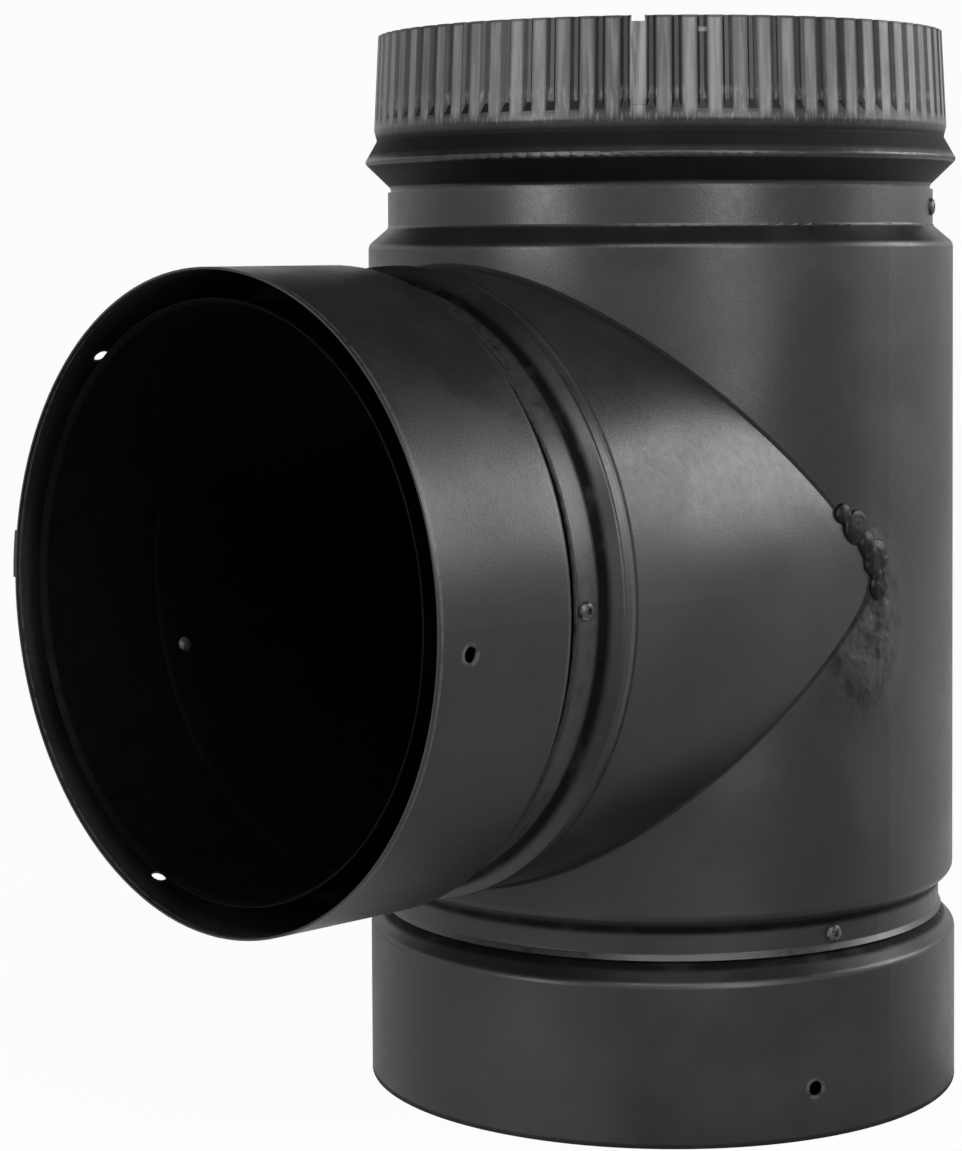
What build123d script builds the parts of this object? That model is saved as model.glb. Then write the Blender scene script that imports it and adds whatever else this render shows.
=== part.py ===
from build123d import *
import math
import os

# Double-wall stove pipe tee: a black casing round a flue liner, held apart by stand-offs.
# Frame: +Z runs up the straight run, the branch points along -Y, and the origin is the centre of the bottom rim.

# Overall sizes, mm
run_length = 304.8        # bottom rim to top rim
branch_height = 152.4     # bottom rim to the branch's axis
branch_reach = 170.0      # run's axis to the branch's rim
casing_od = 171.4
collar_od = 172.6         # plain sockets, a little wider than the casing
flue_bore = 152.4         # the size the pipe is sold by
branch_step = 0.3         # each branch tube is this much smaller in radius than its run
slip = 0.25               # radial gap between sheets that slide together
past = 1.0                # how far a cutting tool runs past what it cuts
seam_gap = 0.15           # gap between a saddle cut and the tube that it lands on

# Sheets
casing_sheet = 0.6
liner_sheet = 0.5
lip_bend = 0.9            # bend radii, on the outside of the sheet
tight_bend = 1.2
bend = 1.5
easy_bend = 2.5
slow_bend = 20.0

# Necked joint between a casing end and its socket collar, measured from the collar's rim
socket_depth = 44.5       # straight part of the collar
neck_start = 50.2         # lip of the casing's necked end
neck_depth = 4.1          # how far the groove's floor lies inside the casing's surface
lip_flare = 0.8           # how far the lip curls back out
lip_length = 1.6
joint_overlap = 14.0      # how far the collar's neck runs up inside the casing's
bottom_neck_floor = 6.0   # straight floor of the groove at the bottom
branch_neck_floor = 8.2   # straight floor of the groove on the branch
swage_length = 4.2        # length of the slope out to the full size
ring_bead = 0.6           # height of the small ring where the branch regains its size
ring_bead_width = 2.4

# Crimped spigot at the top, measured down from its rim
crimp_length = 25.0
crimp_count = 76
crimp_depth = 1.0
crimp_runout = 2.5        # length over which each flute fades out at its foot
groove_top = 2.7          # width of a groove at the wall's surface
groove_floor = 1.1
spigot_rim_od = 164.8
spigot_base_od = 167.6
stop_notch = 30.5         # small groove under the crimps
stop_notch_od = 166.0
stop_bead = 37.0          # crest of the bead that stops the next pipe
stop_bead_od = 173.4
spigot_neck_od = 159.8
spigot_neck_top = 45.6
spigot_neck_bottom = 56.0
spigot_overlap = 14.0     # how far the spigot's skirt runs down inside the casing's neck
skirt_clear = 1.2         # straight skirt above the casing's top edge
spigot_shoulder = 61.0    # the casing is at its full size from here down
plain_band = 2.5          # uncrimped wall between the flutes and the stop groove
pocket_relief = 0.05      # sheet left thinner behind each land
seam_angle = 39.0         # lap seam of the spigot, round the run from the branch towards +X
seam_width = 4.0
seam_proud = 0.3
seam_notch = 1.6          # depth of the notch where the seam meets the rim
seam_notch_width = 3.6

# Liner ends
lip_setback = 2.6         # the liner's rim lies this far inside the casing's
liner_socket = 42.5       # casing rim to the end of the liner's tube
liner_overlap = 15.0      # how far the liner's collar covers its tube
liner_lip = 0.85          # how far the liner's rim is rolled out
liner_socket_slip = 0.6   # radial room for the next pipe's liner
liner_socket_step = 1.2   # length of the step in to the tube's own fit
liner_top_setback = 3.0
liner_taper = 20.0        # length over which the liner's top end is drawn in
liner_draw = 0.5

# Screw holes, round each socket
screw_d = 4.0
branch_screw_setback = 10.5
branch_screw_angles = (-4, 134, 245)
bottom_screw_setback = 14.0
bottom_screw_angles = (71.7, 191.7, 311.7)

# Blind rivets
rivet_d = 3.2
rivet_head_d = 5.0
rivet_head_h = 1.2
rivet_tail_d = 4.2
rivet_tail_h = 1.1
rivet_core_d = 1.7
dome_fullness = 0.8       # how full the rivet's head and tail are, 0.7 being a cone
rivet_clearance = 0.1     # round the shank
rivet_from_lip = 0.3      # between a rivet's head and the bend at the lip
tail_seat = 0.05          # between the tail and the hollow side of the sheet
bottom_rivet_angles = (78, 258)
branch_rivet_angles = (0, 180)
top_rivet_angles = (120, 300)
liner_rivet_setback = 48.5
branch_liner_rivet_angles = (17, 197)
bottom_liner_rivet_angles = (30, 210)

# Stand-offs that hold the casing off the liner
standoff_length = 19.0
standoff_width = 12.0
standoff_sheet = 0.8
standoff_foot = 5.0
standoff_seat = 0.3       # gap to the casing that it bears on
standoff_from_neck = 1.5  # clear length between a groove's slope and the stand-off
run_standoff_angles = (60, 180, 300)
branch_standoff_angles = (0, 120, 240)

# Lap seam of the branch collar
lap_width = 13.0
lap_proud = 0.9           # how far the lapped end stands off the collar
lap_short = 2.5           # the lap ends this much before the socket's bend
lap_angle = 180.0

# Dabs of weld at each crotch: height from the branch's axis, distance behind the seam, ball radius
weld_dabs = ((13.0, 0.2, 3.4), (9.4, -0.5, 4.6), (6.2, 1.0, 3.6), (2.6, 0.6, 5.2), (-0.8, 3.0, 3.8), (-4.4, 3.4, 4.4))
weld_rise = 1.4           # how far a dab stands off the casing
weld_seat = 0.02

# Radii that follow
casing_r = casing_od / 2
collar_r = collar_od / 2
branch_r = casing_r - branch_step
neck_r = casing_r - neck_depth
liner_r = flue_bore / 2 + liner_sheet
branch_liner_r = liner_r - branch_step
spigot_neck_r = spigot_neck_od / 2
spigot_rim_r = spigot_rim_od / 2
spigot_base_r = spigot_base_od / 2
spigot_lean = (spigot_base_r - spigot_rim_r) / (crimp_length + plain_band)
crimp_foot_r = spigot_rim_r + crimp_length * spigot_lean
top_neck_z = run_length - spigot_neck_top
bottom_swage_end = neck_start + lip_length + bottom_neck_floor + swage_length
branch_ring_end = neck_start + lip_length + branch_neck_floor + swage_length + 2 * ring_bead_width
neck_rivet_z = neck_start + lip_length + rivet_from_lip + rivet_head_d / 2
top_rivet_z = run_length - (spigot_neck_top + spigot_neck_bottom) / 2
rivet_hole_d = rivet_d + 2 * rivet_clearance
crotch_y = -math.sqrt(casing_r**2 - branch_r**2)

SEAT = (Align.CENTER, Align.CENTER, Align.MIN)


def unit(a, b):
    """Direction from point a to point b."""
    length = math.dist(a, b)
    return ((b[0] - a[0]) / length, (b[1] - a[1]) / length)


def beside(points, distance):
    """Line that runs beside a line of (radius, height) points, at a distance to its left, corners mitred."""
    ways = [unit(a, b) for a, b in zip(points, points[1:])]
    moved = []
    for i, (r, z) in enumerate(points):
        before = ways[max(i - 1, 0)]
        after = ways[min(i, len(ways) - 1)]
        share = distance / (1 + before[0] * after[0] + before[1] * after[1])
        moved.append((r - share * (before[1] + after[1]), z + share * (before[0] + after[0])))
    return moved


def turn(a, b, c):
    """Positive where the line a, b, c bends to its left."""
    return (b[0] - a[0]) * (c[1] - b[1]) - (b[1] - a[1]) * (c[0] - b[0])


def rounded(points, radii):
    """Wire through the points with its corners rounded."""
    lifted = [(r, 0, z) for r, z in points]
    if len(points) == 2:
        return Line(*lifted)
    return FilletPolyline(*lifted, radius=radii)


def sheet(points, radii, thickness):
    """Ring of bent sheet: its outer line runs upwards through (radius, height) points, with rounded corners."""
    inner = beside(points, thickness)
    bends = [turn(a, b, c) for a, b, c in zip(points, points[1:], points[2:])]
    inner_radii = [r - thickness if bend > 0 else r + thickness for r, bend in zip(radii, bends)]
    outer_line = rounded(points, radii)
    inner_line = rounded(inner, inner_radii)
    ends = [Line(outer_line @ 0, inner_line @ 0), Line(outer_line @ 1, inner_line @ 1)]
    section = make_face(Wire(outer_line.edges() + inner_line.edges() + ends))
    return revolve(section, Axis.Z)


def ring(r_out, r_in, low, high):
    """Plain ring between two heights."""
    return Pos(0, 0, low) * extrude(Circle(r_out) - Circle(r_in), high - low)


def on_branch(shape):
    """Places a shape drawn with its rim at z = 0 on the branch, its height becoming depth behind the rim."""
    return Pos(0, -branch_reach, branch_height) * Rot(X=-90) * shape


def round_branch(angle):
    """Turn about the drawing axis that puts +X at an angle up from the branch's +X side."""
    return Rot(Z=-angle)


def round_run(angle):
    """Turn about the run's axis that puts +X at an angle from the branch towards +X."""
    return Rot(Z=angle - 90)


def hole_tool(diameter, r_from, r_to, height):
    """Rod along +X for piercing sheets between two radii."""
    return Pos(r_from, 0, height) * Rot(Y=90) * Cylinder(diameter / 2, r_to - r_from, align=SEAT)


def pierce(shape, diameter, radius, places):
    """Cuts radial holes through a sheet at a radius, one for each (turn, height) place."""
    reach = casing_sheet + slip + neck_depth / 2
    for spin, height in places:
        shape -= spin * hole_tool(diameter, radius - reach, radius + reach, height)
    return shape


def casing_end(floor):
    """Outline of a casing's necked end, from its lip to where it is at full size."""
    lip = (neck_r + lip_flare, neck_start)
    floor_from = (neck_r, neck_start + lip_length)
    floor_to = (neck_r, neck_start + lip_length + floor)
    return [lip, floor_from, floor_to]


def socket_collar(overlap_to):
    """Socket: a straight collar whose far end is necked to slide inside the casing's neck."""
    inner_neck = neck_r - casing_sheet - slip
    drop = collar_r - inner_neck
    points = [(collar_r, 0), (collar_r, socket_depth), (inner_neck, socket_depth + drop),
              (inner_neck, overlap_to)]
    return sheet(points, [easy_bend, bend], casing_sheet)


def rivet(r_head, grip):
    """Blind rivet lying along +X: domed head outside, shank through the sheets, bulged tail inside."""
    shank, head, tail, core = rivet_d / 2, rivet_head_d / 2, rivet_tail_d / 2, rivet_core_d / 2
    brim, end = rivet_head_h * 0.3, -grip - rivet_tail_h
    sides = Polyline((tail, 0, -grip), (shank, 0, -grip), (shank, 0, 0), (head, 0, 0), (head, 0, brim))
    crown = ThreePointArc((head, 0, brim), (head * dome_fullness, 0, rivet_head_h * dome_fullness),
                          (core, 0, rivet_head_h))
    well = Polyline((core, 0, rivet_head_h), (core, 0, brim), (0, 0, brim), (0, 0, end))
    bulge = ThreePointArc((0, 0, end), (tail * dome_fullness, 0, -grip - rivet_tail_h * dome_fullness / 2),
                          (tail, 0, -grip))
    outline = Wire(sides.edges() + crown.edges() + well.edges() + bulge.edges())
    return Pos(r_head, 0, 0) * Rot(Y=90) * revolve(make_face(outline), Axis.Z)


# Casing of the run
def run_casing():
    low_end = casing_end(bottom_neck_floor)
    low_slope = (casing_r, low_end[-1][1] + swage_length)
    shoulder = (casing_r, run_length - spigot_shoulder)
    neck_foot = (spigot_neck_r, run_length - spigot_neck_bottom)
    neck_head = (spigot_neck_r, top_neck_z)
    points = low_end + [low_slope, shoulder, neck_foot, neck_head]
    shell = sheet(points, [lip_bend, bend, easy_bend, easy_bend, tight_bend], casing_sheet)
    mouth = on_branch(Cylinder(branch_r - casing_sheet, branch_reach, align=SEAT))
    shell -= mouth
    low_holes = [(round_run(a), neck_rivet_z) for a in bottom_rivet_angles]
    top_holes = [(round_run(a), top_rivet_z) for a in top_rivet_angles]
    shell = pierce(shell, rivet_hole_d, neck_r, low_holes)
    return pierce(shell, rivet_hole_d, spigot_neck_r, top_holes)


# Casing of the branch: necked at its outer end, cut to a saddle at the run
def branch_casing():
    end = casing_end(branch_neck_floor)
    slope_z = end[-1][1] + swage_length
    crest = branch_r + ring_bead
    points = end + [(crest, slope_z), (crest, slope_z + ring_bead_width),
                    (branch_r, slope_z + 2 * ring_bead_width), (branch_r, branch_reach)]
    tube = on_branch(sheet(points, [lip_bend, bend, tight_bend, tight_bend, bend], casing_sheet))
    tube -= Cylinder(casing_r + seam_gap, run_length, align=SEAT)
    tube = keep_side(tube)
    holes = [(round_branch(a), neck_rivet_z) for a in branch_rivet_angles]
    return pierce_branch(tube, rivet_hole_d, neck_r, holes)


def keep_side(tube):
    """Largest solid of a tube that the run's cylinder has cut in two, which is the branch's own side."""
    return max(tube.solids(), key=lambda s: -s.center().Y)


def pierce_branch(shape, diameter, radius, places):
    """Cuts radial holes through a sheet that is already on the branch."""
    reach = casing_sheet + slip + neck_depth / 2
    for spin, height in places:
        shape -= on_branch(spin * hole_tool(diameter, radius - reach, radius + reach, height))
    return shape


# Sockets
def bottom_collar():
    collar = socket_collar(neck_start + joint_overlap)
    screws = [(round_run(a), bottom_screw_setback) for a in bottom_screw_angles]
    collar = pierce(collar, screw_d, collar_r, screws)
    rivets = [(round_run(a), neck_rivet_z) for a in bottom_rivet_angles]
    return pierce(collar, rivet_hole_d, neck_r, rivets)


def branch_collar():
    collar = socket_collar(neck_start + joint_overlap)
    collar += round_branch(lap_angle) * lap()
    screws = [(round_branch(a), branch_screw_setback) for a in branch_screw_angles]
    collar = pierce(collar, screw_d, collar_r, screws)
    rivets = [(round_branch(a), neck_rivet_z) for a in branch_rivet_angles]
    collar = pierce(collar, rivet_hole_d, neck_r, rivets)
    return on_branch(collar)


def lap():
    """Lapped end of the collar's strip, a thin curved patch that stands proud of the socket."""
    outer = collar_r + lap_proud
    start = math.degrees(lap_width / collar_r)
    patch = ring(outer, collar_r - casing_sheet / 2, 0, socket_depth - lap_short)
    side = 2 * (outer + past)
    block = Pos(0, 0, socket_depth / 2) * Box(side, side, socket_depth)
    above = Pos(0, side / 2, 0) * block
    below = Rot(Z=start) * Pos(0, -side / 2, 0) * block
    front = Pos(side / 2, 0, 0) * block
    return patch & above & below & front


# Crimped spigot with its stop bead
def crimped_spigot():
    skirt_r = spigot_neck_r - casing_sheet - slip
    heights = [run_length - z for z in (spigot_neck_top + spigot_overlap, spigot_neck_top - skirt_clear,
                                        stop_bead, stop_notch, crimp_length + plain_band, -past)]
    widths = [skirt_r, skirt_r, stop_bead_od / 2, stop_notch_od / 2, spigot_base_r,
              spigot_rim_r - past * spigot_lean]
    collar = sheet(list(zip(widths, heights)), [bend, tight_bend, tight_bend, easy_bend], casing_sheet)
    collar = crimp(collar) + seam_strip()
    notch = Box(4 * crimp_depth + 4 * casing_sheet, seam_notch_width, 2 * seam_notch)
    collar -= at_crimps(seam_angle) * Pos(0, 0, crimp_length) * notch
    collar -= ring(casing_r, spigot_neck_r - crimp_depth, run_length, run_length + 2 * past)
    holes = [(round_run(a), top_rivet_z) for a in top_rivet_angles]
    return pierce(collar, rivet_hole_d, spigot_neck_r, holes)


def at_crimps(angle):
    """Frame on the wall's surface at the foot of the crimps: +X outward, +Z up the leaning wall."""
    return round_run(angle) * Pos(crimp_foot_r, 0, run_length - crimp_length) * Rot(
        Y=-math.degrees(math.atan(spigot_lean)))


def crimp(collar):
    """Turns the plain wall under the rim into flutes: grooves outside, and pockets behind the lands between them."""
    foot = run_length - crimp_length
    deep = casing_sheet + crimp_depth
    top = run_length + past
    top_r = spigot_rim_r - past * spigot_lean
    band = [(crimp_foot_r - casing_sheet, foot), (crimp_foot_r - crimp_runout * spigot_lean - deep, foot + crimp_runout),
            (top_r - deep, top), (top_r - casing_sheet / 2, top), (crimp_foot_r - casing_sheet / 2, foot)]
    collar += revolve(make_face(Polyline(*[(r, 0, z) for r, z in band], close=True)), Axis.Z)
    side = (groove_top - groove_floor) / 2 / crimp_depth
    groove = flute_tool(past, groove_top / 2 + side * past, -crimp_depth, groove_floor / 2) & runout_block()
    pitch = 2 * math.pi * spigot_rim_r / crimp_count
    near = pitch / 2 - groove_top / 2 - casing_sheet * math.hypot(1, side)
    behind = casing_sheet + pocket_relief
    pocket = flute_tool(-behind, near + side * behind, -deep - past, near + side * (deep + past))
    step = 360 / crimp_count
    grooves = [at_crimps(seam_angle + (i + 0.5) * step) * groove for i in range(crimp_count)]
    pockets = [at_crimps(seam_angle + i * step) * pocket for i in range(crimp_count)]
    return collar - grooves - pockets


def flute_tool(outer, outer_half, inner, inner_half):
    """Wedge-sided bar up the wall, between two depths from its surface."""
    section = make_face(Polyline((outer, -outer_half), (outer, outer_half), (inner, inner_half),
                                 (inner, -inner_half), close=True))
    return Pos(0, 0, -past) * extrude(section, crimp_length + 3 * past)


def runout_block():
    """Block whose slanted foot makes a groove fade out."""
    rate = crimp_runout / crimp_depth
    above = crimp_length + 3 * past
    side = Polyline((past, 0, -rate * past), (past, 0, above), (-crimp_depth, 0, above),
                    (-crimp_depth, 0, crimp_runout), close=True)
    return extrude(make_face(side), 2 * groove_top, both=True)


def seam_strip():
    """Flat lapped edge that stands a little proud of the flutes."""
    thick = seam_proud + casing_sheet / 2
    strip = Box(thick, seam_width, crimp_length - crimp_runout / 2, align=(Align.MAX, Align.CENTER, Align.MIN))
    return at_crimps(seam_angle) * Pos(seam_proud, 0, crimp_runout / 2) * strip


# Liner
def run_liner():
    points = [(liner_r, liner_socket), (liner_r, run_length - liner_top_setback - liner_taper),
              (liner_r - liner_draw, run_length - liner_top_setback)]
    tube = sheet(points, [slow_bend], liner_sheet)
    tube -= on_branch(Cylinder(branch_liner_r - liner_sheet, branch_reach, align=SEAT))
    places = [(round_run(a), liner_rivet_setback) for a in bottom_liner_rivet_angles]
    return pierce(tube, rivet_hole_d, liner_r, places)


def branch_liner():
    tube = on_branch(ring(branch_liner_r, branch_liner_r - liner_sheet, liner_socket, branch_reach))
    tube -= Cylinder(liner_r + seam_gap, run_length, align=SEAT)
    tube = keep_side(tube)
    places = [(round_branch(a), liner_rivet_setback) for a in branch_liner_rivet_angles]
    return pierce_branch(tube, rivet_hole_d, liner_r, places)


def liner_collar(tube_r, spin, angles):
    """Socket of the liner: fits its tube, steps out for the next pipe's, and ends in a rim rolled outwards."""
    r = tube_r + slip + liner_sheet
    wide = tube_r + liner_socket_slip + liner_sheet
    points = [(wide + liner_lip, lip_setback), (wide, lip_setback + 2 * liner_lip),
              (wide, liner_socket - liner_socket_step), (r, liner_socket), (r, liner_socket + liner_overlap)]
    collar = sheet(points, [tight_bend, bend, bend], liner_sheet)
    places = [(spin(a), liner_rivet_setback) for a in angles]
    return pierce(collar, rivet_hole_d, r, places)


# Stand-off: a hat-shaped strip with two feet on the liner and its crown under the casing
def standoff(foot_r, casing_inside_r, middle):
    crown_r = casing_inside_r - standoff_seat - standoff_sheet
    half = standoff_length / 2
    rise = half - standoff_foot
    riser = (crown_r - foot_r) / 4
    under = [(foot_r, -half), (foot_r, -rise), (crown_r, -rise + riser), (crown_r, rise - riser), (foot_r, rise),
             (foot_r, half)]
    over = beside(under, -standoff_sheet)
    outline = Polyline(*[(r, 0, z) for r, z in under + over[::-1]], close=True)
    arc = math.degrees(standoff_width / foot_r)
    strip = revolve(make_face(outline), Axis.Z, revolution_arc=arc)
    return Pos(0, 0, middle) * Rot(Z=-arc / 2) * strip


def run_standoff(middle, angle):
    return round_run(angle) * standoff(liner_r, casing_r - casing_sheet, middle)


def branch_standoff(angle):
    middle = branch_ring_end + standoff_from_neck + standoff_length / 2
    return on_branch(round_branch(angle) * standoff(branch_liner_r, branch_r - casing_sheet, middle))


# Weld in one crotch: a row of dabs laid along the seam and past its end
def crotch_weld(side):
    weld = None
    for rise, behind, size in weld_dabs:
        y = -math.sqrt(rise**2 + crotch_y**2) + behind
        wall = math.sqrt(casing_r**2 - y**2)
        dab = Pos(side * (wall + weld_rise - size), y, branch_height + rise) * Sphere(size)
        weld = dab if weld is None else weld + dab
    weld -= Cylinder(casing_r + weld_seat, run_length, align=SEAT)
    return weld - on_branch(Cylinder(branch_r + weld_seat, branch_reach, align=SEAT))


def write(name, shape):
    """Writes one node and prints its volume."""
    solids = shape.solids()
    shape = solids[0] if len(solids) == 1 else Compound(children=list(solids))
    shape.label = name
    export_step(shape, os.path.join("parts", name + ".step"))
    print(f"{name}: {len(solids)} solid(s), {shape.volume / 1000:.2f} cm3")


def write_sheets():
    write("run_casing", run_casing())
    write("branch_casing", branch_casing())
    write("bottom_collar", bottom_collar())
    write("branch_collar", branch_collar())
    write("crimped_spigot", crimped_spigot())
    write("run_liner", run_liner())
    write("branch_liner", branch_liner())
    write("bottom_liner_collar", liner_collar(liner_r, round_run, bottom_liner_rivet_angles))
    socket = liner_collar(branch_liner_r, round_branch, branch_liner_rivet_angles)
    write("branch_liner_collar", on_branch(socket))


def write_rivets():
    casing_grip = 2 * casing_sheet + slip + tail_seat
    liner_grip = 2 * liner_sheet + slip + tail_seat
    for i, angle in enumerate(bottom_rivet_angles):
        write(f"bottom_rivet_{i + 1}", round_run(angle) * Pos(0, 0, neck_rivet_z) * rivet(neck_r, casing_grip))
    for i, angle in enumerate(top_rivet_angles):
        place = round_run(angle) * Pos(0, 0, top_rivet_z)
        write(f"top_rivet_{i + 1}", place * rivet(spigot_neck_r, casing_grip))
    for i, angle in enumerate(branch_rivet_angles):
        place = round_branch(angle) * Pos(0, 0, neck_rivet_z)
        write(f"branch_rivet_{i + 1}", on_branch(place * rivet(neck_r, casing_grip)))
    for i, angle in enumerate(bottom_liner_rivet_angles):
        place = round_run(angle) * Pos(0, 0, liner_rivet_setback)
        write(f"bottom_liner_rivet_{i + 1}", place * rivet(liner_r + slip + liner_sheet, liner_grip))
    for i, angle in enumerate(branch_liner_rivet_angles):
        place = round_branch(angle) * Pos(0, 0, liner_rivet_setback)
        head_r = branch_liner_r + slip + liner_sheet
        write(f"branch_liner_rivet_{i + 1}", on_branch(place * rivet(head_r, liner_grip)))


def write_standoffs():
    low = bottom_swage_end + standoff_from_neck + standoff_length / 2
    high = run_length - spigot_shoulder - standoff_from_neck - standoff_length / 2
    for i, angle in enumerate(run_standoff_angles):
        write(f"bottom_standoff_{i + 1}", run_standoff(low, angle))
        write(f"top_standoff_{i + 1}", run_standoff(high, angle))
    for i, angle in enumerate(branch_standoff_angles):
        write(f"branch_standoff_{i + 1}", branch_standoff(angle))


def main():
    os.makedirs("parts", exist_ok=True)
    write_sheets()
    write_rivets()
    write_standoffs()
    write("crotch_weld_right", crotch_weld(1))
    write("crotch_weld_left", crotch_weld(-1))


main()
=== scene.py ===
# %% [markdown]
# # Stove pipe tee
# A black double-wall tee of painted sheet steel: a straight run with a crimped spigot on top, and a branch
# of the same size with an open mouth. The solids come packed from CAD, so this lesson dresses them: paint,
# edges partly rubbed and partly painted highlight, painted shade in the grooves, weld, a white studio and
# the camera.
#
# ## Loading
# The solids arrive in metres, already in their places, as one object for each piece.

import math

import bpy
from mathutils import Matrix, Vector


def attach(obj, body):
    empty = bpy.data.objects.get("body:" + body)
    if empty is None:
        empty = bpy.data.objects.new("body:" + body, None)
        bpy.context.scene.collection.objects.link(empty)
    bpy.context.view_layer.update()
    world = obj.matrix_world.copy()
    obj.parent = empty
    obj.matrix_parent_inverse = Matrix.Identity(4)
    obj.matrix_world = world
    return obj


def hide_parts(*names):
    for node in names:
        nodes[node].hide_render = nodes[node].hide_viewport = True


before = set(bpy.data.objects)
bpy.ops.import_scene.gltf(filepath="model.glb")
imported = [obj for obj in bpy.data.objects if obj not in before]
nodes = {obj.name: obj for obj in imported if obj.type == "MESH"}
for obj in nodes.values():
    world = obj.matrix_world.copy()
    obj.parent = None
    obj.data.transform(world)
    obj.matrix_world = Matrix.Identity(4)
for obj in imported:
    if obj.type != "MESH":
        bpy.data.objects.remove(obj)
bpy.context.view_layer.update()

# %% [markdown]
# ## Sizes
# Places on the tee come from its drawing: the branch's axis is half-way up the run, the rim of its mouth is
# 170 mm out, and the outer walls of branch, run and sockets differ by less than a millimetre. They are named
# once here, in metres, because paint and weld need them.

# %% Sizes that the steps share
MM = 0.001
BRANCH_Z = 152.4 * MM
BRANCH_RIM = 170.0 * MM
BRANCH_R = 85.4 * MM
CASING_R = 85.7 * MM
SOCKET_R = 86.3 * MM
CRIMP_FOOT = 279.8 * MM
CRIMP_COUNT = 76
SEAM_ANGLE = math.radians(39.0)
print("branch", BRANCH_Z, "m up,", CRIMP_COUNT, "crimps")

# %% [markdown]
# ## Camera
# The photograph was taken from the side of the branch's mouth, a little above the branch's axis. The place,
# the slight downward tilt and the focal length, in pixels of the photograph's height, were worked out from
# the ends of the tubes. The lens is shifted a little because the object doesn't sit on the lens's axis.
# Three directions, ahead, right and up, are enough to place a camera: they are the columns of its matrix.

# %% Camera
FRAME_H = 1151
SENSOR = 36.0
FOCAL_PX = 2934.5
SIDE = math.radians(42.734)
YAW = math.radians(3.482)
PITCH = math.radians(-2.5)
ROLL = math.radians(-0.34)
EYE_BACK, EYE_UP = 0.8687, 0.2441
AXIS_ROW = 371.9

turn = Matrix.Rotation(SIDE, 3, "Z")
ahead = turn @ Vector((-math.sin(YAW) * math.cos(PITCH), math.cos(YAW) * math.cos(PITCH), math.sin(PITCH)))
level_right = turn @ Vector((math.cos(YAW), math.sin(YAW), 0))
level_up = level_right.cross(ahead)
right = math.cos(ROLL) * level_right + math.sin(ROLL) * level_up
up = math.cos(ROLL) * level_up - math.sin(ROLL) * level_right

camera = bpy.data.objects.new("camera", bpy.data.cameras.new("camera"))
bpy.context.scene.collection.objects.link(camera)
eye = Vector((EYE_BACK * math.sin(SIDE), -EYE_BACK * math.cos(SIDE), EYE_UP))
camera.matrix_world = Matrix.Translation(eye) @ Matrix((right, up, -ahead)).transposed().to_4x4()
camera.data.sensor_width = SENSOR
camera.data.lens = FOCAL_PX * SENSOR / FRAME_H
camera.data.shift_y = (AXIS_ROW - FRAME_H / 2) / FRAME_H
bpy.context.scene.camera = camera
print("lens", round(camera.data.lens, 1), "shift", round(camera.data.shift_y, 3))

# %% [markdown]
# ## Nodes
# Every finish, and the studio too, is a small tree of nodes. Setting up each node by hand takes many lines,
# so small helpers do it. The first ones wire a socket, do sums, and take a place apart or put one together.

# %% Helpers for sums and places
def feed(tree, socket, value):
    """Wire a socket to another one, or set its number."""
    if isinstance(value, bpy.types.NodeSocket):
        tree.links.new(value, socket)
    else:
        socket.default_value = value


def math_node(tree, operation, first, second=0.0):
    """Math node whose inputs are sockets or numbers."""
    node = tree.nodes.new("ShaderNodeMath")
    node.operation = operation
    feed(tree, node.inputs[0], first)
    feed(tree, node.inputs[1], second)
    return node.outputs[0]


def times(tree, *values):
    """Product of sockets and numbers."""
    product = values[0]
    for value in values[1:]:
        product = math_node(tree, "MULTIPLY", product, value)
    return product


def plus(tree, *values):
    """Sum of sockets and numbers."""
    total = values[0]
    for value in values[1:]:
        total = math_node(tree, "ADD", total, value)
    return total


def separate(tree, vector):
    """The three parts of a place."""
    node = tree.nodes.new("ShaderNodeSeparateXYZ")
    tree.links.new(vector, node.inputs[0])
    return node.outputs["X"], node.outputs["Y"], node.outputs["Z"]


def combine(tree, *values):
    """A place or a colour from three parts."""
    node = tree.nodes.new("ShaderNodeCombineXYZ")
    for socket, value in zip(node.inputs, values):
        feed(tree, socket, value)
    return node.outputs[0]


def here(tree):
    """The place on the object, in metres."""
    return tree.nodes.new("ShaderNodeTexCoord").outputs["Object"]


# %% [markdown]
# ## Fades and noises
# Finishes change softly from place to place. A fade goes from one value to another, a band is one in a
# stretch and zero outside, a noise gives clouds or grit, and a bump turns a height into small dents without
# any mesh.

# %% Helpers for soft changes
def fade(tree, value, start, end, low=0.0, high=1.0):
    """Smooth change from low at start to high at end."""
    node = tree.nodes.new("ShaderNodeMapRange")
    node.interpolation_type = "SMOOTHSTEP"
    for socket, number in zip(node.inputs, (value, start, end, low, high)):
        feed(tree, socket, number)
    return node.outputs[0]


def band(tree, value, low, high, soft):
    """One between low and high, with soft ends outside them."""
    return times(tree, fade(tree, value, low - soft, low), fade(tree, value, high + soft, high))


def noise(tree, vector, scale, detail=3.0):
    """Cloudy values about one half; scale is how many clouds fit in a metre."""
    node = tree.nodes.new("ShaderNodeTexNoise")
    tree.links.new(vector, node.inputs["Vector"])
    node.inputs["Scale"].default_value = scale
    node.inputs["Detail"].default_value = detail
    return node.outputs["Fac"]


def blend_color(tree, share, dark, light):
    """Mix two greys, each a number or a colour socket; a grey is a touch blue, as black paint is."""
    node = tree.nodes.new("ShaderNodeMix")
    node.data_type = "RGBA"
    feed(tree, node.inputs["Factor"], share)
    for socket, value in ((node.inputs[6], dark), (node.inputs[7], light)):
        grey = value if isinstance(value, bpy.types.NodeSocket) else (value, value, value * 1.02, 1)
        feed(tree, socket, grey)
    return node.outputs[2]


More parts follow.
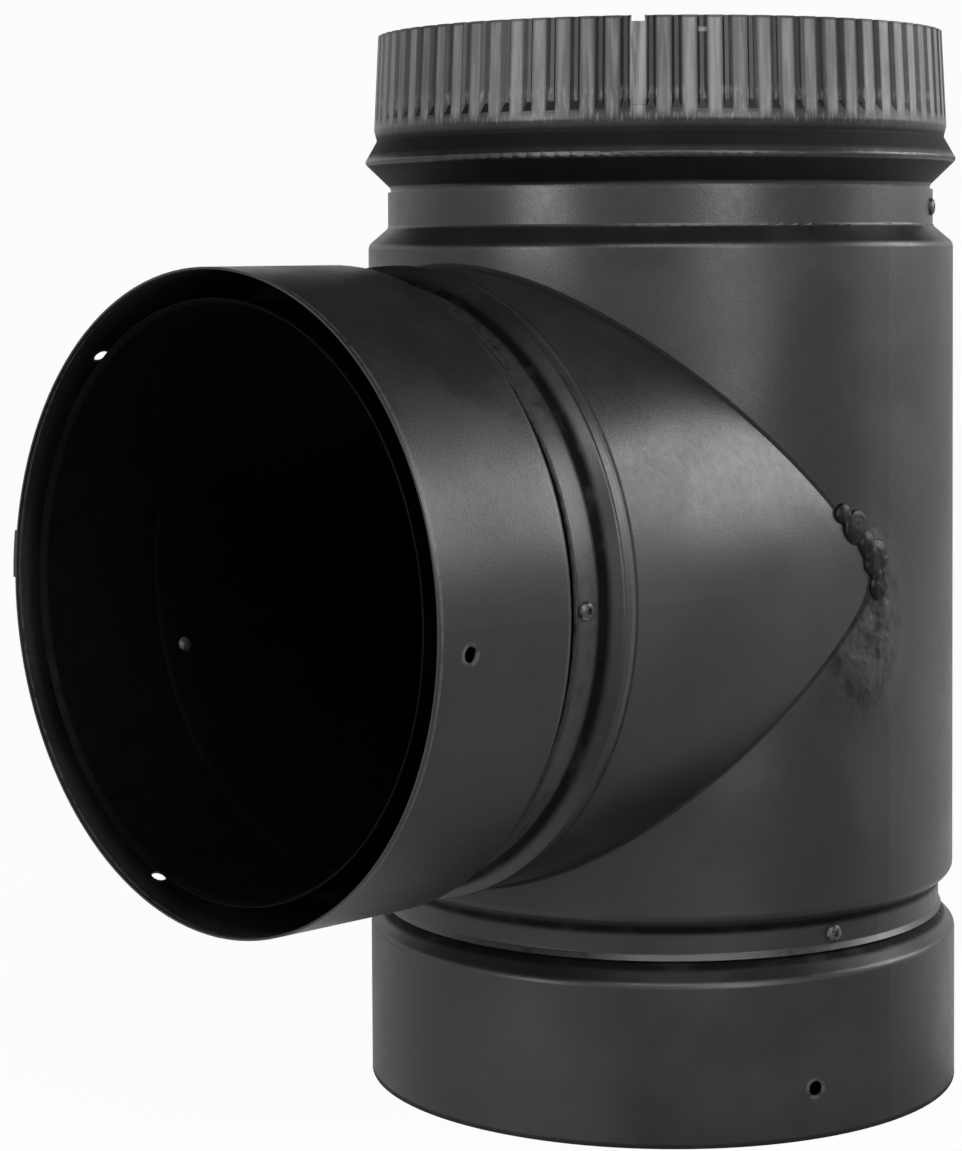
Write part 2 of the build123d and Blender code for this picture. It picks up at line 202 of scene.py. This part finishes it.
def bump(tree, height, depth, below=None):
    """Dents of the given depth, laid over those below."""
    node = tree.nodes.new("ShaderNodeBump")
    node.inputs["Strength"].default_value = 1.0
    node.inputs["Distance"].default_value = depth
    tree.links.new(height, node.inputs["Height"])
    if below is not None:
        tree.links.new(below, node.inputs["Normal"])
    return node.outputs[0]


# %% [markdown]
# ## Places on a tube
# Wear on a tube runs round it, so its places are best told the round way: the distance from the axis, the
# turn round it and the way along it. The run stands on Z. The branch lies along Y, and its way along starts
# at its rim.

# %% Helpers for tubes and materials
def round_places(tree, vector, axis_z=None):
    """Distance from the axis, turn and way along: the run's, or the branch's if axis_z is given."""
    x, y, z = separate(tree, vector)
    if axis_z is None:
        side, front, along = x, math_node(tree, "MULTIPLY", y, -1.0), z
    else:
        side = math_node(tree, "SUBTRACT", z, axis_z)
        front, along = x, math_node(tree, "ADD", y, BRANCH_RIM)
    radius = math_node(tree, "SQRT", plus(tree, times(tree, side, side), times(tree, front, front)))
    return radius, math_node(tree, "ARCTAN2", side, front), along


def finish(name, roughness, specular):
    """New material, with its tree and its shader."""
    material = bpy.data.materials.new(name)
    material.use_nodes = True
    shader = material.node_tree.nodes["Principled BSDF"]
    shader.inputs["Roughness"].default_value = roughness
    shader.inputs["Specular IOR Level"].default_value = specular
    return material, material.node_tree, shader


# %% [markdown]
# ## Studio
# Black paint is seen by what it mirrors. The tee stands in a round white studio with a dark ceiling: the
# floor and the wall are white to the camera, and glossy rays see them as pale. The top of the branch
# mirrors the ceiling and goes dark. In mirrors the floor is duller in a fan to the photographer's right.
# Floor and wall are one mesh, a disc whose edge is pulled up, and they still take the tee's shadow, as part
# of their shade is matt.

# %% Studio walls and floor
scene = bpy.context.scene
scene.view_settings.view_transform = "Standard"
WALL_RADIUS, WALL_HEIGHT = 3.0, 1.3
CEILING_GLOW = 0.03
TO_CAMERA = 0.96  # share of glow in what the camera sees
TO_GLOSS, PALER_FROM_TO = (0.46, 1.0), (0.1, 0.4)  # share of glow in mirrors, from the floor up the wall
DULL_BEARING, DULL_FAN, DULL_BY = math.radians(80), (0.45, 0.8), 0.55  # fan of the floor, by cosine
FLOOR_TOP = 0.02
WHITE = 0.85

world = bpy.data.worlds.new("ceiling")
scene.world = world
world.use_nodes = True
world.node_tree.nodes["Background"].inputs["Color"].default_value = (1, 1, 1, 1)
world.node_tree.nodes["Background"].inputs["Strength"].default_value = CEILING_GLOW

sweep = bpy.data.materials.new("white_sweep")
sweep.use_nodes = True
tree = sweep.node_tree
tree.nodes.clear()
path = tree.nodes.new("ShaderNodeLightPath")
mirrored = math_node(tree, "MAXIMUM", path.outputs["Is Glossy Ray"], path.outputs["Is Transmission Ray"])
x, y, z = separate(tree, here(tree))
toward = plus(tree, times(tree, x, math.sin(DULL_BEARING)), times(tree, y, -math.cos(DULL_BEARING)))
out_there = math_node(tree, "SQRT", plus(tree, times(tree, x, x), times(tree, y, y)))
dull = times(tree, fade(tree, math_node(tree, "DIVIDE", toward, out_there), *DULL_FAN),
             fade(tree, z, FLOOR_TOP, 0.0))
kept = math_node(tree, "SUBTRACT", 1.0, times(tree, dull, mirrored, DULL_BY))
pale = times(tree, fade(tree, z, *PALER_FROM_TO, *TO_GLOSS), kept)
share = math_node(tree, "MAXIMUM", times(tree, path.outputs["Is Camera Ray"], TO_CAMERA),
                  times(tree, mirrored, pale))
matt = tree.nodes.new("ShaderNodeBsdfDiffuse")
white = times(tree, kept, WHITE)
feed(tree, matt.inputs["Color"], combine(tree, white, white, white))
glow = tree.nodes.new("ShaderNodeEmission")
glow.inputs["Color"].default_value = (1, 1, 1, 1)
mix = tree.nodes.new("ShaderNodeMixShader")
out = tree.nodes.new("ShaderNodeOutputMaterial")
tree.links.new(share, mix.inputs[0])
tree.links.new(matt.outputs[0], mix.inputs[1])
tree.links.new(glow.outputs[0], mix.inputs[2])
tree.links.new(mix.outputs[0], out.inputs[0])

bpy.ops.object.select_all(action="DESELECT")
bpy.ops.mesh.primitive_circle_add(vertices=96, radius=WALL_RADIUS, fill_type="NGON")
studio = bpy.context.object
studio.name = "studio"
bpy.ops.object.mode_set(mode="EDIT")
bpy.ops.mesh.select_mode(type="EDGE")
bpy.ops.mesh.select_all(action="SELECT")
bpy.ops.mesh.region_to_loop()
bpy.ops.mesh.extrude_region_move(TRANSFORM_OT_translate={"value": (0, 0, WALL_HEIGHT)})
bpy.ops.object.mode_set(mode="OBJECT")
studio.data.materials.append(sweep)
print("studio faces", len(studio.data.polygons))

# %% [markdown]
# ## Softboxes
# Four flat lamps give the long highlights: one behind the run for the bright band along the branch, one
# beside the mouth and one near the camera for the two bands down the run, and a long one higher up for the
# lips and the crest of the bead. A flat lamp's power is its radiance times its area times pi, so a bigger
# lamp isn't a brighter one.

# %% Softboxes
def softbox(name, bearing, rise, distance, wide, high, radiance):
    """Flat lamp aimed at the tee: bearing goes from the branch towards +X, rise is its angle up."""
    lamp = bpy.data.objects.new(name, bpy.data.lights.new(name, "AREA"))
    lamp.data.shape = "RECTANGLE"
    lamp.data.size, lamp.data.size_y = wide, high
    lamp.data.energy = radiance * math.pi * wide * high
    a, e = math.radians(bearing), math.radians(rise)
    way = Vector((math.sin(a) * math.cos(e), -math.cos(a) * math.cos(e), math.sin(e)))
    lamp.location = Vector((0, 0, BRANCH_Z)) + way * distance
    lamp.rotation_mode = "QUATERNION"
    lamp.rotation_quaternion = way.to_track_quat("Z", "Y")
    scene.collection.objects.link(lamp)
    print(name, [round(v, 2) for v in lamp.location], round(lamp.data.energy, 1), "W")


softbox("side_box", 145, 23, 1.4, 0.6, 0.6, 9)
softbox("mouth_box", -5, 11, 1.5, 0.34, 0.6, 14)
softbox("near_box", 70, 12, 1.5, 0.36, 0.56, 11)
softbox("top_box", 52, 37, 1.5, 1.3, 0.22, 13)

# %% [markdown]
# ## Stove paint on the casing
# The casing is sprayed with a heat-proof black that dries to a soft gloss. Up close it has a fine orange
# peel, the sheet under it is a little wavy, and dust and handling leave cloudy patches that are a shade
# greyer and duller. At the lips and rims, where two pieces rub, a lighter band is partly paint worn thin and
# partly a painted highlight on the edge; the ring round each screw hole is partly paint chipped by the drill
# and partly a painted highlight on the burr. The grooves of the joints get painted shade. One noise drives
# the peel, a slow one the waves, and bands along the tube say where the wear, the painted highlights and the
# painted shade are. The painted shade is made a black metal: paint keeps a gloss whatever its colour, and a
# metal mirrors only as much as its colour lets it.

# %% Paint of the casing
PAINT, DUSTY, WEAR_AND_HIGHLIGHT_GREY, PAINTED_SHADE_BLACK = 0.0065, 0.011, 0.05, 0.0003  # greys
CLOUDS, GRIT, CHIP_AND_HIGHLIGHT_SCALE, SHADE_MOTTLE, WAVES, PEEL = 28, 420, 330, 110, 22, 1300  # scales of the noises
WAVE_DEPTH, PEEL_DEPTH = 1.2 * MM, 0.03 * MM
BURR_RING = 1.9 * MM, 2.7 * MM, 0.5 * MM  # from, to and softness, from the hole's middle


def burr_chip_and_highlight(tree, around, along, turn_degrees, height):
    """Ring round a screw hole: partly paint chipped by the drill, partly a painted highlight on the burr."""
    sideways = times(tree, math_node(tree, "SUBTRACT", around, math.radians(turn_degrees)), SOCKET_R)
    lengthways = math_node(tree, "SUBTRACT", along, height)
    squares = plus(tree, times(tree, sideways, sideways), times(tree, lengthways, lengthways))
    return band(tree, math_node(tree, "SQRT", squares), *BURR_RING)


def stove_paint(name, wear_and_highlight_places, axis_z=None, holes=(), painted_shade_places=()):
    """Black paint with bands of wear and painted highlight, and grooves of painted shade, each (low, high,
    soft, strength) along the tube.
    """
    material, tree, shader = finish(name, 0.4, 0.5)
    spot = here(tree)
    _, around, along = round_places(tree, spot, axis_z)
    clouds = fade(tree, noise(tree, spot, CLOUDS, 4), 0.42, 0.66)
    grit = noise(tree, spot, GRIT, 3)
    # Lighter bands and burr rings: partly worn or chipped paint, partly painted highlight.
    wear_and_highlight = 0.0
    for low, high, soft, strength in wear_and_highlight_places:
        wear_and_highlight = plus(tree, wear_and_highlight, times(tree, band(tree, along, low, high, soft), strength))
    wear_and_highlight = times(tree, wear_and_highlight, fade(tree, grit, 0.25, 0.6))
    chips_and_highlights = fade(tree, noise(tree, spot, CHIP_AND_HIGHLIGHT_SCALE, 2), 0.4, 0.62)
    for turn_degrees, height in holes:
        wear_and_highlight = plus(tree, wear_and_highlight, times(tree, chips_and_highlights, burr_chip_and_highlight(tree, around, along, turn_degrees, height)))
    # Painted shade in the grooves of the joints.
    painted_shade = 0.0
    for low, high, soft, strength in painted_shade_places:
        painted_shade = plus(tree, painted_shade, times(tree, band(tree, along, low, high, soft), strength))
    painted_shade = times(tree, painted_shade, fade(tree, noise(tree, spot, SHADE_MOTTLE, 3), 0.3, 0.5, 0.7, 1.0))
    dusty = blend_color(tree, clouds, PAINT, DUSTY)
    paint_with_wear_and_highlight = blend_color(tree, wear_and_highlight, dusty, WEAR_AND_HIGHLIGHT_GREY)
    feed(tree, shader.inputs["Base Color"], blend_color(tree, painted_shade, paint_with_wear_and_highlight, PAINTED_SHADE_BLACK))
    feed(tree, shader.inputs["Metallic"], times(tree, painted_shade, 0.9))
    duller = fade(tree, clouds, 0.0, 1.0, 0.37, 0.43)
    grainy = times(tree, math_node(tree, "SUBTRACT", grit, 0.5), 0.12)
    feed(tree, shader.inputs["Roughness"], plus(tree, duller, times(tree, painted_shade, 0.4), grainy))
    waves = bump(tree, noise(tree, spot, WAVES, 1), WAVE_DEPTH)
    feed(tree, shader.inputs["Normal"], bump(tree, noise(tree, spot, PEEL, 2), PEEL_DEPTH, waves))
    return material


# %% [markdown]
# ## Painted saddle shade and burns on the run
# A dark line of painted shade follows the saddle, in the corner where the branch lands on the run. The
# distance from the branch's wall would draw it, but near the crotch the two walls run almost side by side
# and the line would smear. Dividing by the opening between the walls keeps it even.
# Beside the weld the heat raised blisters and left burns, on both sides of the run.

# %% Painted saddle shade and burns
SADDLE_SHADE_GREY, SADDLE_SHADE_WIDTH = 0.0005, (1.4 * MM, 0.7 * MM)
SADDLE_SHADE_END = 0.18, 0.17  # no painted shade on the back of the run, this far from the branch's rim
NARROWEST = 0.985  # keeps the opening from closing at the crotch
BURN, BURN_Y, BURN_Z = 0.002, -0.010, BRANCH_Z - 0.012  # grey and middle of the burnt patch
BURN_REACH, BURN_TALL = (0.020, 0.008), 0.35
BLISTERS, BLISTER_DEPTH, BLOTCHES = 150, 1.4 * MM, 170


def source(shader, name):
    """The socket that feeds an input of the shader."""
    return shader.inputs[name].links[0].from_socket


def saddle_shade(material):
    """Painted shade in the corner where the branch meets the run."""
    tree = material.node_tree
    shader = tree.nodes["Principled BSDF"]
    spot = here(tree)
    radius, _, along = round_places(tree, spot, BRANCH_Z)
    x, _, _ = separate(tree, spot)
    across = times(tree, x, x, 1 / (BRANCH_R * SOCKET_R))
    closed = math_node(tree, "MINIMUM", times(tree, across, across), NARROWEST)
    opening = math_node(tree, "SQRT", math_node(tree, "SUBTRACT", 1.0, closed))
    gap = math_node(tree, "DIVIDE", math_node(tree, "SUBTRACT", radius, BRANCH_R), opening)
    corner_shade = times(tree, fade(tree, gap, *SADDLE_SHADE_WIDTH), fade(tree, along, *SADDLE_SHADE_END))
    feed(tree, shader.inputs["Base Color"], blend_color(tree, corner_shade, source(shader, "Base Color"), SADDLE_SHADE_GREY))
    feed(tree, shader.inputs["Roughness"], plus(tree, source(shader, "Roughness"), times(tree, corner_shade, 0.5)))


def scorched(material):
    """Blisters and burns beside the weld."""
    tree = material.node_tree
    shader = tree.nodes["Principled BSDF"]
    spot = here(tree)
    _, y, z = separate(tree, spot)
    off_y = math_node(tree, "SUBTRACT", y, BURN_Y)
    off_z = math_node(tree, "SUBTRACT", z, BURN_Z)
    squares = plus(tree, times(tree, off_y, off_y), times(tree, off_z, off_z, BURN_TALL))
    patch = fade(tree, math_node(tree, "SQRT", squares), *BURN_REACH)
    blisters = times(tree, patch, noise(tree, spot, BLISTERS, 2))
    feed(tree, shader.inputs["Normal"], bump(tree, blisters, BLISTER_DEPTH, source(shader, "Normal")))
    burns = times(tree, fade(tree, patch, 0.2, 1.0), fade(tree, noise(tree, spot, BLOTCHES, 2), 0.44, 0.64))
    feed(tree, shader.inputs["Base Color"], blend_color(tree, burns, source(shader, "Base Color"), BURN))
    feed(tree, shader.inputs["Metallic"], plus(tree, source(shader, "Metallic"), times(tree, burns, 0.35)))


# Width of the painted saddle shade.
print("dirt within", SADDLE_SHADE_WIDTH[0], "m of the saddle")

# %% [markdown]
# ## The four coats
# The run, the branch and the two sockets get a coat each, because their joints lie at different places.
# Places along the run are heights, and those along the branch are counted from its rim. A lighter lip,
# partly worn and partly a painted highlight, is a millimetre or two wide; painted shade lies just behind
# each lip and fades up the slope, and a band of it runs along the socket's bottom rim.

# %% Coats of the four casing pieces
# Lighter bands: partly worn paint, partly painted highlight. Painted shade: grooves and the socket's bottom
# rim.
run_paint = stove_paint("run_paint", [(0.0496, 0.0512, 0.0006, 0.35), (0.2592, 0.2606, 0.0008, 0.3)],
                        painted_shade_places=[(0.0580, 0.0592, 0.0018, 0.8)])
branch_paint = stove_paint("branch_paint", [(0.0496, 0.0508, 0.0004, 0.6), (0.0530, 0.0590, 0.0008, 0.3)],
                           BRANCH_Z,
                           painted_shade_places=[(0.0597, 0.0608, 0.0018, 0.9), (0.0688, 0.0692, 0.0008, 0.6)])
socket_paint = stove_paint("socket_paint", [], holes=[(71.7, 0.014), (-168.3, 0.014), (-48.3, 0.014)],
                           painted_shade_places=[(0.0482, 0.0512, 0.0014, 0.85), (0.0, 0.0008, 0.0008, 0.6)])
mouth_paint = stove_paint("mouth_paint", [(0.0009, 0.0014, 0.0003, 0.8)], BRANCH_Z,
                          holes=[(-4, 0.0105), (134, 0.0105), (-115, 0.0105)],
                          painted_shade_places=[(0.0478, 0.0512, 0.0008, 0.7)])
saddle_shade(run_paint)
scorched(run_paint)
print("four coats of stove paint")

# %% [markdown]
# ## Crimped end
# The crimps are pressed in after the sheet is painted. The rollers stretch the paint and leave it greyer
# and duller, each flute a little different. The turn round the run, cut into one step for each flute, picks
# a random grey, and a noise drawn out along the run gives streaks. The lands are lighter than the grooves
# between them, partly where the rollers rubbed them and partly as a painted highlight on each land.

# %% Greys of the crimps
LAND_WEAR_AND_HIGHLIGHT, GROOVE = (0.04, 0.17), 0.01
LAND_WIDTH = 0.3, 0.17  # in steps from the middle of a land
STREAK_ROUND, STREAK_DEEP, STREAK_LONG = 60.0, 400.0, 45.0

crimp_paint, tree, shader = finish("crimp_paint", 0.45, 0.5)
spot = here(tree)
radius, around, along = round_places(tree, spot)
from_seam = math_node(tree, "SUBTRACT", around, SEAM_ANGLE)
steps = times(tree, from_seam, CRIMP_COUNT / math.tau)
flute = math_node(tree, "FLOOR", plus(tree, steps, 0.5))
off_land = math_node(tree, "ABSOLUTE", math_node(tree, "SUBTRACT", steps, flute))
# Mask of the lands, where the painted highlight goes.
highlit_land = fade(tree, off_land, *LAND_WIDTH)
pick = tree.nodes.new("ShaderNodeTexWhiteNoise")
pick.noise_dimensions = "1D"
tree.links.new(flute, pick.inputs["W"])
streaks = noise(tree, combine(tree, times(tree, around, STREAK_ROUND), times(tree, radius, STREAK_DEEP),
                              times(tree, along, STREAK_LONG)), 1.0, 3)
greyer = plus(tree, times(tree, pick.outputs["Value"], 0.5), times(tree, fade(tree, streaks, 0.35, 0.7), 0.5))
pressed = blend_color(tree, highlit_land, GROOVE, blend_color(tree, greyer, *LAND_WEAR_AND_HIGHLIGHT))
plain = blend_color(tree, fade(tree, noise(tree, spot, 40, 4), 0.4, 0.65), PAINT, 0.014)
crimped = fade(tree, along, CRIMP_FOOT - 3 * MM, CRIMP_FOOT + 1 * MM)
print("crimped paint:", CRIMP_COUNT, "flutes")

# %% [markdown]
# ## Marks on the crimped end
# The end has its own marks: a seam strip where the sheet laps, scuffs where the rollers ran out at the
# foot, painted shade in the corners between the lands there, one chip, a dark edge at the rim, and painted
# shade under the bead and in the stop groove. Each mark is a mask of its own, and they are laid over the
# greys one after another.

# %% Marks and shader of the crimped end
CHIP_TURN, CHIP_HEIGHT = math.radians(50.9), 301 * MM
SCUFF, SEAM_GREY = 0.16, 0.2
UNDER_BEAD = 261.2 * MM, 266.6 * MM, 0.6 * MM
STOP_GROOVE = 270.6 * MM, 274.4 * MM, 2.2 * MM
RIM_EDGE = 304.2 * MM, 306.0 * MM, 0.3 * MM

drawn = combine(tree, times(tree, around, 90.0), 0.0, times(tree, along, 180.0))
scuffs = times(tree, band(tree, along, CRIMP_FOOT - 1.5 * MM, CRIMP_FOOT + 4.5 * MM, 2.5 * MM),
               fade(tree, noise(tree, drawn, 1.0, 4), 0.48, 0.66))
seam = times(tree, fade(tree, math_node(tree, "ABSOLUTE", from_seam), 0.032, 0.022),
             fade(tree, streaks, 0.3, 0.6))
chip = times(tree, band(tree, around, CHIP_TURN - 0.012, CHIP_TURN + 0.012, 0.004),
             band(tree, along, CHIP_HEIGHT - 0.4 * MM, CHIP_HEIGHT + 0.4 * MM, 0.4 * MM))
painted_shade_grooves = plus(tree, times(tree, band(tree, along, *UNDER_BEAD), 0.7),
               times(tree, band(tree, along, *STOP_GROOVE), 0.75))
foot_corner_shade = times(tree, band(tree, along, CRIMP_FOOT - 0.5 * MM, CRIMP_FOOT + 2.2 * MM, 1 * MM),
             fade(tree, off_land, 0.2, 0.36))
edge = times(tree, band(tree, along, *RIM_EDGE), 0.8)

grey = blend_color(tree, crimped, plain, pressed)
# Painted shade under the bead and in the stop groove.
grey = blend_color(tree, painted_shade_grooves, grey, PAINTED_SHADE_BLACK)
grey = blend_color(tree, times(tree, crimped, seam), grey, SEAM_GREY)
grey = blend_color(tree, plus(tree, times(tree, scuffs, 0.6), times(tree, chip, 0.9)), grey, SCUFF)
# Painted shade in the corners at the foot, and the dark rim edge, in the same black.
grey = blend_color(tree, plus(tree, foot_corner_shade, edge), grey, PAINTED_SHADE_BLACK)
duller = fade(tree, crimped, 0.0, 1.0, 0.38, 0.47)
feed(tree, shader.inputs["Base Color"], grey)
feed(tree, shader.inputs["Roughness"], plus(tree, duller, times(tree, painted_shade_grooves, 0.4)))
feed(tree, shader.inputs["Metallic"], times(tree, painted_shade_grooves, 0.9))
waves = bump(tree, noise(tree, spot, 90, 2), 0.4 * MM)
feed(tree, shader.inputs["Normal"], bump(tree, noise(tree, spot, 900, 3), 0.05 * MM, waves))
print("marks laid over", crimp_paint.name)

# %% [markdown]
# ## Enamel of the liner
# The flue liner inside is black all over and seen from the side, so it shows only as a thin grey line where
# its rolled lip catches the light. A rough dark coat with a faint grain is enough.

# %% Enamel inside
liner_enamel, tree, shader = finish("liner_enamel", 0.6, 0.05)
spot = here(tree)
feed(tree, shader.inputs["Base Color"], blend_color(tree, noise(tree, spot, 60, 4), 0.0005, 0.002))
feed(tree, shader.inputs["Roughness"], fade(tree, noise(tree, spot, 200, 3), 0.3, 0.7, 0.5, 0.7))
feed(tree, shader.inputs["Normal"], bump(tree, noise(tree, spot, 500, 2), 0.04 * MM))
print("enamel:", liner_enamel.name)

# %% [markdown]
# ## Rivets, stand-offs and weld
# The rivets were set before the paint, and their domes are glossier than the sheet and a lighter grey,
# partly rubbed wear and partly a painted highlight. The weld in each crotch was run by hand and burnt its
# paint, so it is blacker than the rest. The stand-offs are plain steel in the dark between the tubes. All
# four are one kind of finish with other greys.

# %% Paint of small parts
def small_paint(name, dark, light, roughness, grain, burnt=0.0):
    """Paint between two greys; burnt paint is partly a black metal, as the painted shade in the grooves is.
    """
    material, tree, shader = finish(name, roughness, 0.5)
    shader.inputs["Metallic"].default_value = burnt
    spot = here(tree)
    cloudy = fade(tree, noise(tree, spot, grain, 3), 0.4, 0.65)
    feed(tree, shader.inputs["Base Color"], blend_color(tree, cloudy, dark, light))
    feed(tree, shader.inputs["Roughness"], fade(tree, noise(tree, spot, grain * 2, 2), 0.3, 0.7,
                                                roughness - 0.06, roughness + 0.06))
    feed(tree, shader.inputs["Normal"], bump(tree, noise(tree, spot, grain * 3, 2), 0.05 * MM))
    return material


rivet_paint = small_paint("rivet_paint", 0.015, 0.09, 0.34, 500)
weld_paint = small_paint("weld_paint", 0.0004, 0.0015, 0.42, 400, burnt=0.55)
liner_rivet_paint = small_paint("liner_rivet", 0.02, 0.05, 0.45, 500)
standoff_steel = small_paint("standoff_steel", 0.01, 0.02, 0.5, 300)
print("four finishes for small parts")

# %% [markdown]
# ## Dressing the solids
# The five big casing pieces have a coat each. The rest are told by their names, and whatever is left over
# is part of the liner. Each solid keeps its mesh and its place, and only the material in its slots is
# changed.

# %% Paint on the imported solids
dressing = {"run_casing": run_paint, "branch_casing": branch_paint, "bottom_collar": socket_paint,
            "branch_collar": mouth_paint, "crimped_spigot": crimp_paint}
for name, node in nodes.items():
    if name in dressing:
        coat = dressing[name]
    elif "weld" in name:
        coat = weld_paint
    elif "liner_rivet" in name:
        coat = liner_rivet_paint
    elif "rivet" in name:
        coat = rivet_paint
    elif "standoff" in name:
        coat = standoff_steel
    else:
        coat = liner_enamel
    for slot in node.material_slots:
        slot.material = coat
print("painted", len(nodes), "solids")

# %% [markdown]
# ## Weld
# The crotch is closed by a short weld that was run by hand: overlapping puddles, each a flat drop a few
# millimetres wide. It could be a tube along the seam, but a hand's weld has no even width. So round drops
# are laid along the seam, flattened, and remeshed into one skin, and a cloudy texture pushes the skin in
# and out. What would sink through the sheet is pressed flat on it. Both crotches get the same weld, and
# each bead takes the place of the plain dabs in the solids.

# %% Weld in the crotches
CROTCH_Y = -7.16 * MM
DROP_RISE, DROP_SINK = 1.3 * MM, 0.3 * MM
BEAD_VOXEL, BEAD_LUMP, BEAD_PUSH = 0.3 * MM, 3.4 * MM, 0.6 * MM
DROPS = ((17.8, 1.4, 3.0), (13.8, 2.6, 5.0), (9.0, 2.6, 3.6), (4.8, 3.4, 5.4), (0.0, 2.8, 3.4),
         (-2.8, 3.6, 4.0))  # height from the branch's axis, distance behind the seam, radius

lumps = bpy.data.textures.new("weld_lumps", "CLOUDS")
lumps.noise_scale = BEAD_LUMP
lumps.noise_depth = 1


def weld_bead(name, side, node_name):
    """One bead of weld on the side of +X (1) or -X (-1)."""
    bpy.ops.object.select_all(action="DESELECT")
    drops = []
    for rise, behind, size in DROPS:
        y = -math.hypot(rise * MM, CROTCH_Y) + behind * MM
        wall = math.sqrt(CASING_R ** 2 - y ** 2)
        bpy.ops.mesh.primitive_ico_sphere_add(
            subdivisions=3, radius=1, location=(side * wall, y, BRANCH_Z + rise * MM),
            scale=(DROP_RISE, size * MM, size * MM))
        drops.append(bpy.context.object)
    for drop in drops:
        drop.select_set(True)
    bpy.ops.object.join()
    bead = bpy.context.object
    bead.name = name
    bpy.ops.object.transform_apply(location=True, rotation=True, scale=True)
    remesh = bead.modifiers.new("skin", "REMESH")
    remesh.mode = "VOXEL"
    remesh.voxel_size = BEAD_VOXEL
    push = bead.modifiers.new("lumps", "DISPLACE")
    push.texture = lumps
    push.texture_coords = "LOCAL"
    push.strength = BEAD_PUSH
    push.mid_level = 0.5
    bpy.ops.object.modifier_apply(modifier="skin")
    bpy.ops.object.modifier_apply(modifier="lumps")
    for vertex in bead.data.vertices:
        away = math.hypot(vertex.co.x, vertex.co.y)
        if away < CASING_R - DROP_SINK:
            vertex.co.x *= (CASING_R - DROP_SINK) / away
            vertex.co.y *= (CASING_R - DROP_SINK) / away
    bpy.ops.object.shade_smooth()
    bead.data.materials.append(weld_paint)
    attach(bead, "root")
    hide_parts(node_name)
    print(name, len(bead.data.polygons), "faces")


weld_bead("weld_bead_right", 1, "crotch_weld_right")
weld_bead("weld_bead_left", -1, "crotch_weld_left")
